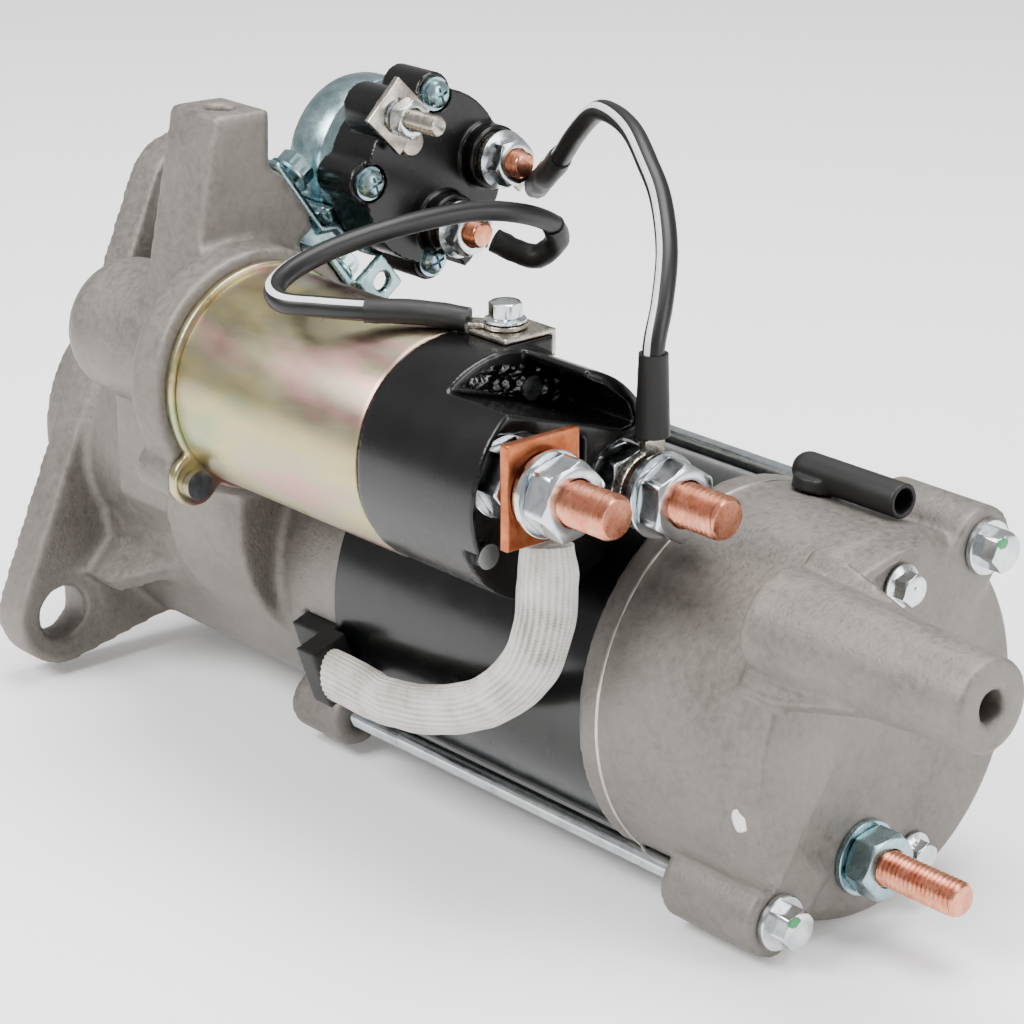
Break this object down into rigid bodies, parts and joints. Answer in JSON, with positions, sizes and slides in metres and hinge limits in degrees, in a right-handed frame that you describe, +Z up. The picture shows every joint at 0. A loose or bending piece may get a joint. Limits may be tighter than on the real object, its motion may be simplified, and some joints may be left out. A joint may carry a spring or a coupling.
{
  "type": "starter motor",
  "caption": "Offset-gear starter motor with three-ear flange, piggyback solenoid, control relay, overhung sliding pinion and rear support boss.",
  "frame": {"origin": "pinion axis at the front mounting face of the flange", "axes": "+X runs to the rear along the motor, +Z up, with the solenoid up and to the -Y side"},
  "size_m": [0.386, 0.16, 0.2015],
  "materials": {
    "cast_aluminium": "satin sand-cast",
    "bearing_steel": "ground",
    "forged_steel": "machined",
    "black_paint": "gloss",
    "copper": "copper, satin",
    "zinc_bolts": "bright zinc",
    "yellow_zinc": "yellow iridescent zinc",
    "blue_zinc": "blue zinc",
    "bakelite": "glossy moulding",
    "black_rubber": "matte",
    "nickel": "nickel plate",
    "glass_braid": "braided glass sleeve",
    "brush_carbon": "carbon",
    "brush_frame": "brassed"
  },
  "bodies": {
    "housing": {"drive_housing": "cast_aluminium", "front_bearing": "bearing_steel", "front_seal": "black_rubber", "centre_plate": "cast_aluminium", "centre_bearing": "bearing_steel", "yoke": "black_paint", "pole_shoes": "forged_steel", "field_coils": "copper", "rear_cover": "cast_aluminium", "through_bolts": "zinc_bolts", "rear_bearing": "bearing_steel", "brush_holder": "brush_frame", "brushes": "brush_carbon", "brush_springs": "bearing_steel", "cover_screws": "zinc_bolts", "vent_elbow": "black_rubber", "ground_stud": "copper", "ground_nut": "zinc_bolts", "solenoid_plate": "yellow_zinc", "solenoid_screws": "zinc_bolts", "solenoid_case": "yellow_zinc", "solenoid_coil": "copper", "solenoid_core": "forged_steel", "solenoid_cap": "bakelite", "power_studs": "copper", "power_nuts": "zinc_bolts", "motor_terminal": "copper", "motor_lead": "glass_braid", "lead_grommet": "black_rubber", "switch_terminal": "nickel", "switch_screw": "zinc_bolts", "cap_screws": "zinc_bolts", "relay_case": "blue_zinc", "relay_cap": "bakelite", "relay_screws": "zinc_bolts", "relay_studs": "copper", "relay_nuts": "zinc_bolts", "relay_post": "nickel", "relay_coil": "copper", "relay_spring": "bearing_steel", "relay_bracket": "blue_zinc", "bracket_screws": "zinc_bolts", "battery_wire": "black_rubber", "switch_wire": "black_rubber", "wire_lugs": "nickel", "wire_sleeves": "black_rubber", "lever_pin": "bearing_steel"},
    "armature": {"armature_shaft": "bearing_steel", "armature_core": "forged_steel", "armature_winding": "copper", "commutator": "copper"},
    "output": {"ring_gear": "forged_steel"},
    "clutch_unit": {"clutch": "forged_steel"},
    "pinion_unit": {"pinion": "forged_steel"},
    "plunger_unit": {"plunger": "forged_steel", "return_spring": "bearing_steel"},
    "contact_unit": {"contact_disc": "copper"},
    "lever_unit": {"shift_lever": "forged_steel"},
    "relay_armature": {"relay_plunger": "copper"}
  },
  "joints": [
    {"name": "armature_spin", "type": "hinge", "parent": "housing", "child": "armature", "pos_m": [0, 0.01673, -0.01858], "axis": [1, 0, 0], "continuous": true},
    {"name": "output_spin", "type": "hinge", "parent": "housing", "child": "output", "pos_m": [0, 0, 0], "axis": [1, 0, 0], "continuous": true},
    {"name": "clutch_slide", "type": "slide", "parent": "output", "child": "clutch_unit", "axis": [-1, 0, 0], "range_m": [0, 0.0168]},
    {"name": "pinion_overrun", "type": "hinge", "parent": "clutch_unit", "child": "pinion_unit", "pos_m": [0, 0, 0], "axis": [1, 0, 0], "continuous": true},
    {"name": "plunger_slide", "type": "slide", "parent": "housing", "child": "plunger_unit", "axis": [1, 0, 0], "range_m": [0, 0.01], "stiffness_N_per_m": 1500, "springref_m": -0.01},
    {"name": "lever_swing", "type": "hinge", "parent": "housing", "child": "lever_unit", "pos_m": [0.056, -0.02543, 0.02824], "axis": [0, -0.7431, -0.6691], "range_deg": [-25.4, 0]},
    {"name": "contact_slide", "type": "slide", "parent": "housing", "child": "contact_unit", "axis": [1, 0, 0], "range_m": [0, 0.0035]},
    {"name": "relay_slide", "type": "slide", "parent": "housing", "child": "relay_armature", "axis": [1, 0, 0], "range_m": [0, 0.002], "stiffness_N_per_m": 400, "springref_m": -0.002}
  ],
  "couplings": [
    {"joint": "output_spin", "follows": "armature_spin", "ratio": 0.28571},
    {"joint": "clutch_slide", "follows": "plunger_slide", "ratio": 1.67},
    {"joint": "lever_swing", "follows": "plunger_slide", "rad_per_m": -44.297},
    {"joint": "contact_slide", "follows": "plunger_slide", "ratio": 0.35}
  ]
}
